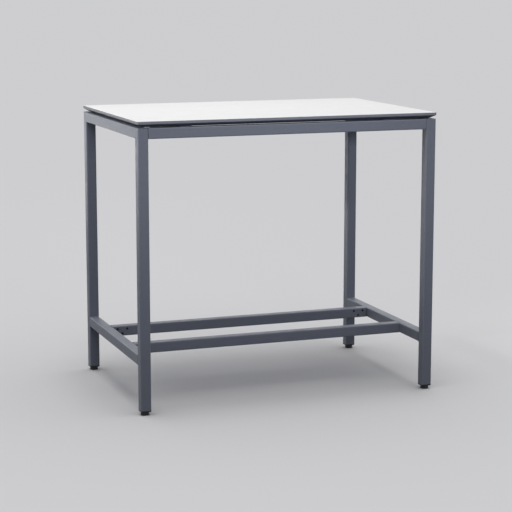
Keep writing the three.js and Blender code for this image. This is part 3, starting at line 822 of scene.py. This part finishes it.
def make_long_rails():
    """Rails along the table: top rails with access holes for the board's screws, plain foot rails."""
    for side, side_y in SIDES.items():
        node = f"top_rail_{side}"
        low, high = node_box(node)
        screws = [node_box(f"tab_screw_{side}_{end}") for end in ENDS]
        places = np.array([(a[:2] + b[:2]) / 2 for a, b in screws])
        steps = np.arange(-4, 5) * HOLE_STEP
        stations = (np.sort(places[:, 0])[:, None] + steps).ravel()
        points, cells, rub = square_tube(
            low, high, X_AXIS, shares=RAIL_SHARES, stations=stations, ease=RAIL_END_EASE
        )
        points, cells = pierced_rail(points, cells, places, low[2])
        rub = np.concatenate([rub.ravel(), np.zeros(len(points) - rub.size)])
        coated_tube(f"coated_top_rail_{side}", node, points, cells, rub)
        node = f"foot_rail_{side}"
        low, high = node_box(node)
        coated_tube(f"coated_foot_rail_{side}", node, *square_tube(low, high, X_AXIS, ease=RAIL_END_EASE))


def make_cross_members():
    """Folded channels under the board with tabs on the long rails; the slip-in spigots keep their CAD shape."""
    for end in ENDS:
        node = f"cross_member_{end}"
        low, high = node_box(node)
        points, cells = folded_channel(low, high, high[1] - TAB_REACH)
        finished_piece(f"folded_channel_{end}", points, cells, "table", powder_coat, [node])
    for corner in CORNERS:
        for level in ("top", "foot"):
            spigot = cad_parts[f"{level}_spigot_{corner}"]
            spigot.data.materials.clear()
            spigot.data.materials.append(powder_coat)


def make_rail_screw(node, name, side_y, turn):
    """Black button-head screw on a rail's inner face, its shank pointing outwards through the wall."""
    low, high = node_box(node)
    centre = (low + high) / 2
    length = high[1] - low[1] - SCREW_HEAD
    radius = 3 * MM
    head_radius = (high[0] - low[0]) / 2
    socket = 2 * MM / math.cos(math.pi / 6)
    points, cells = screw_surface(radius, length, head_radius, socket, 1 * MM, 0.55 * MM, 0.8 * MM, turn)
    seat = low[1] + SCREW_HEAD if side_y > 0 else high[1] - SCREW_HEAD
    laid = np.stack([points[..., 0], side_y * points[..., 2], -side_y * points[..., 1]], axis=-1)
    laid = laid + np.array([centre[0], seat, centre[2]])
    finished_piece(name, laid, cells, "table", black_oxide, [node])


def make_board_screw(node, name, turn):
    """Zinc-plated screw with a coarse thread, driven up into the board."""
    low, high = node_box(node)
    centre = (low + high) / 2
    length = high[2] - low[2] - SCREW_HEAD
    head_radius = (high[0] - low[0]) / 2
    socket = 1.5 * MM / math.cos(math.pi / 6)
    points, cells = screw_surface(2.5 * MM, length, head_radius, socket, 2.2 * MM, 0.8 * MM, 3 * MM, turn)
    placed = points + np.array([centre[0], centre[1], low[2] + SCREW_HEAD])
    finished_piece(name, placed, cells, "table", zinc_plate, [node])


def make_screws():
    """Every screw, each with its socket turned its own way."""
    for place, (corner, (side_x, side_y)) in enumerate(CORNERS.items()):
        for number in (1, 2, 3):
            node = f"foot_rail_screw_{corner}_{number}"
            make_rail_screw(node, f"button_screw_{corner}_{number}", side_y, 0.7 * place + 0.31 * number)
        make_rail_screw(f"top_rail_screw_{corner}", f"button_screw_top_{corner}", side_y, 0.45 * place)
        make_board_screw(f"tab_screw_{corner}", f"wood_screw_tab_{corner}", 0.5 * place)
        make_board_screw(f"board_screw_{corner}", f"wood_screw_board_{corner}", 0.3 + 0.8 * place)


def make_feet():
    """Leg inserts, threaded studs and round pads, the last two on the bodies that move."""
    for place, corner in enumerate(CORNERS):
        pad_low, pad_high = node_box(f"levelling_pad_{corner}")
        seat = pad_high[2] + THREAD_CLEARANCE
        low, high = node_box(f"leg_insert_{corner}")
        points, cells = insert_surface(low, high, seat)
        finished_piece(
            f"moulded_insert_{corner}", points, cells, "table", black_plastic, [f"leg_insert_{corner}"]
        )
        low, high = node_box(f"levelling_stud_{corner}")
        centre = (low + high) / 2
        points, cells = stud_surface(low, high, seat, 0.4 * place)
        placed = points + np.array([centre[0], centre[1], 0.0])
        finished_piece(
            f"threaded_stud_{corner}", placed, cells, f"stud_{corner}", zinc_plate,
            [f"levelling_stud_{corner}"],
        )
        centre = (pad_low + pad_high) / 2
        points, cells = turned(pad_profile(pad_low, pad_high), 72)
        placed = points + np.array([centre[0], centre[1], 0.0])
        finished_piece(
            f"round_pad_{corner}", placed, cells, f"foot_{corner}", black_plastic,
            [f"levelling_pad_{corner}"],
        )


# Studio
FLOOR_RADIUS = 150.0
FLOOR_COLOUR = (0.68, 0.68, 0.68)
FLOOR_BOUNCE = (0.065, 0.068, 0.076)
BACKDROP = (0.70, 0.70, 0.70)
FILL_ALONG_FLOOR = (0.03, 0.038, 0.06)
FILL_FROM_ABOVE = (1.14, 1.14, 1.17)
FILL_GATHERING = 1.5
OVERHEAD_LEVEL = 0.24
OVERHEAD_COLOUR = (1.0, 0.985, 0.96)
OVERHEAD_FROM = (-0.03, -0.05, 0.998)
OVERHEAD_SPREAD = 30.0
LEFT_BOX_POWER = 1.4
LEFT_BOX_PLACE = (-5.0, -0.3, 2.60)
LEFT_BOX_AIM = (-0.4, 0.0, 1.12)
LEFT_BOX_SIZE = (1.2, 0.35)
LEFT_BOX_BEAM = 14.0
LEFT_BOX_COLOUR = (1.0, 0.955, 0.885)
FRONT_BOX_POWER = 1.6
FRONT_BOX_PLACE = (-0.4, -5.0, 1.75)
FRONT_BOX_AIM = (-0.05, -0.4, 1.06)
FRONT_BOX_SIZE = (1.6, 0.35)
FRONT_BOX_BEAM = 23.0
FRONT_BOX_COLOUR = (0.90, 0.94, 1.0)
LEFT_SHEEN_POWER = 4.1
LEFT_SHEEN_PLACE = (-0.925, 1.75, 0.78)
LEFT_SHEEN_AIM = (-0.925, 0.0, 0.78)
LEFT_SHEEN_SIZE = (1.35, 0.72)
LOW_SHEEN_POWER = 3.6
LOW_SHEEN_PLACE = (1.05, 1.75, 0.61)
LOW_SHEEN_AIM = (1.05, 0.0, 0.61)
LOW_SHEEN_SIZE = (2.1, 0.46)
SHEEN_BEAM = 180.0
SHEEN_COLOUR = (1.0, 1.0, 1.0)
CAMERA_PLACE = (-2.2024, -6.0106, 1.6205)
CAMERA_BELOW_LEVEL = 9.87
CAMERA_TO_RIGHT = 20.15
CAMERA_FOCUS = 1611.3
IMAGE_WIDTH = 512.0
SENSOR_WIDTH = 36.0


def seen_ray(tree):
    """One for rays from the camera, from gloss or through glass, nothing for light that only bounces."""
    path = tree.nodes.new("ShaderNodeLightPath")
    either = tree.nodes.new("ShaderNodeMath")
    either.operation = "MAXIMUM"
    any_of = tree.nodes.new("ShaderNodeMath")
    any_of.operation = "MAXIMUM"
    tree.links.new(path.outputs["Is Camera Ray"], either.inputs[0])
    tree.links.new(path.outputs["Is Glossy Ray"], either.inputs[1])
    tree.links.new(either.outputs["Value"], any_of.inputs[0])
    tree.links.new(path.outputs["Is Transmission Ray"], any_of.inputs[1])
    return any_of.outputs["Value"]


def floor_finish():
    """Pale floor seen from above, clear from below; the light it throws back is dim."""
    finish = bpy.data.materials.new("pale_floor")
    finish.use_nodes = True
    tree = finish.node_tree
    tree.nodes.clear()
    output = tree.nodes.new("ShaderNodeOutputMaterial")
    paint = tree.nodes.new("ShaderNodeBsdfDiffuse")
    clear = tree.nodes.new("ShaderNodeBsdfTransparent")
    side = tree.nodes.new("ShaderNodeNewGeometry")
    shown = tree.nodes.new("ShaderNodeMixShader")
    tree.links.new(between_colours(finish, seen_ray(tree), FLOOR_BOUNCE, FLOOR_COLOUR), paint.inputs["Color"])
    tree.links.new(side.outputs["Backfacing"], shown.inputs[0])
    tree.links.new(paint.outputs["BSDF"], shown.inputs[1])
    tree.links.new(clear.outputs["BSDF"], shown.inputs[2])
    tree.links.new(shown.outputs["Shader"], output.inputs["Surface"])
    return finish


def make_floor():
    """Flat disc of rings and rays, just under the pads; it goes down with the front left foot."""
    radii = np.array([0.0, 1.0, 3.0, 10.0, 40.0, FLOOR_RADIUS])[:, None]
    angle = np.linspace(0, 2 * math.pi, 96, endpoint=False)[None]
    points = np.empty((6, 96, 3))
    points[..., 0] = radii * np.cos(angle)
    points[..., 1] = radii * np.sin(angle)
    points[..., 2] = -0.1 * MM
    mesh = bpy.data.meshes.new("studio_floor")
    mesh.from_pydata(points.reshape(-1, 3).tolist(), [], cells_of(6, 96)[:, ::-1].tolist())
    mesh.materials.append(floor_finish())
    floor = bpy.data.objects.new("studio_floor", mesh)
    bpy.context.scene.collection.objects.link(floor)
    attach(floor, "foot_front_left")


def towards(place, aim):
    """Turn that points a lamp from its place at its aim: tilt from straight down, then swing about upright."""
    x, y, z = np.array(aim, float) - np.array(place, float)
    return (math.atan2(math.hypot(x, y), -z), 0.0, math.atan2(-x, y))


def soft_box(name, place, aim, size, power, beam, colour, in_gloss=False):
    """Rectangular lamp that keeps its light within the beam's angle; it lights either plain surfaces or their gloss."""
    lamp = bpy.data.lights.new(name, "AREA")
    lamp.shape = "RECTANGLE"
    lamp.size, lamp.size_y = size
    lamp.energy = power
    lamp.color = colour
    lamp.spread = math.radians(beam)
    box = bpy.data.objects.new(name, lamp)
    box.location = place
    box.rotation_euler = towards(place, aim)
    box.visible_camera = False
    box.visible_glossy = in_gloss
    box.visible_diffuse = not in_gloss
    bpy.context.scene.collection.objects.link(box)


def make_light():
    """Wide fill that gathers overhead as a power of the height, a soft lamp above, boxes at the left and front.

    The backdrop is only what the camera and gloss see.
    """
    lamp = bpy.data.lights.new("overhead", "SUN")
    lamp.energy = math.pi * OVERHEAD_LEVEL
    lamp.color = OVERHEAD_COLOUR
    lamp.angle = math.radians(OVERHEAD_SPREAD)
    overhead = bpy.data.objects.new("overhead", lamp)
    overhead.rotation_euler = towards(OVERHEAD_FROM, (0.0, 0.0, 0.0))
    bpy.context.scene.collection.objects.link(overhead)
    soft_box(
        "left_box", LEFT_BOX_PLACE, LEFT_BOX_AIM, LEFT_BOX_SIZE, LEFT_BOX_POWER, LEFT_BOX_BEAM, LEFT_BOX_COLOUR
    )
    soft_box(
        "front_box", FRONT_BOX_PLACE, FRONT_BOX_AIM, FRONT_BOX_SIZE, FRONT_BOX_POWER, FRONT_BOX_BEAM, FRONT_BOX_COLOUR
    )
    soft_box(
        "left_sheen", LEFT_SHEEN_PLACE, LEFT_SHEEN_AIM, LEFT_SHEEN_SIZE, LEFT_SHEEN_POWER, SHEEN_BEAM,
        SHEEN_COLOUR, in_gloss=True,
    )
    soft_box(
        "low_sheen", LOW_SHEEN_PLACE, LOW_SHEEN_AIM, LOW_SHEEN_SIZE, LOW_SHEEN_POWER, SHEEN_BEAM,
        SHEEN_COLOUR, in_gloss=True,
    )
    world = bpy.data.worlds.new("studio")
    world.use_nodes = True
    tree = world.node_tree
    background = tree.nodes["Background"]
    place = tree.nodes.new("ShaderNodeTexCoord")
    direction = tree.nodes.new("ShaderNodeSeparateXYZ")
    tree.links.new(place.outputs["Generated"], direction.inputs["Vector"])
    above = combine(world, "POWER", combine(world, "MAXIMUM", direction.outputs["Z"], 0.0), FILL_GATHERING)
    fill = between_colours(world, above, FILL_ALONG_FLOOR, FILL_FROM_ABOVE)
    tree.links.new(between_colours(world, seen_ray(tree), fill, BACKDROP), background.inputs["Color"])
    bpy.context.scene.world = world


def make_camera():
    """Camera at the photograph's viewing angle, with its angle of view."""
    lens = bpy.data.cameras.new("camera")
    lens.sensor_fit = "HORIZONTAL"
    lens.sensor_width = SENSOR_WIDTH
    lens.lens = CAMERA_FOCUS / IMAGE_WIDTH * SENSOR_WIDTH
    lens.clip_end = 400.0
    camera = bpy.data.objects.new("camera", lens)
    camera.location = CAMERA_PLACE
    camera.rotation_euler = (math.radians(90 - CAMERA_BELOW_LEVEL), 0.0, math.radians(-CAMERA_TO_RIGHT))
    bpy.context.scene.collection.objects.link(camera)
    bpy.context.scene.camera = camera


make_camera()
make_table_top()
make_end_frames()
make_long_rails()
make_cross_members()
make_screws()
make_feet()
make_floor()
make_light()
bpy.context.scene.view_settings.view_transform = "Standard"
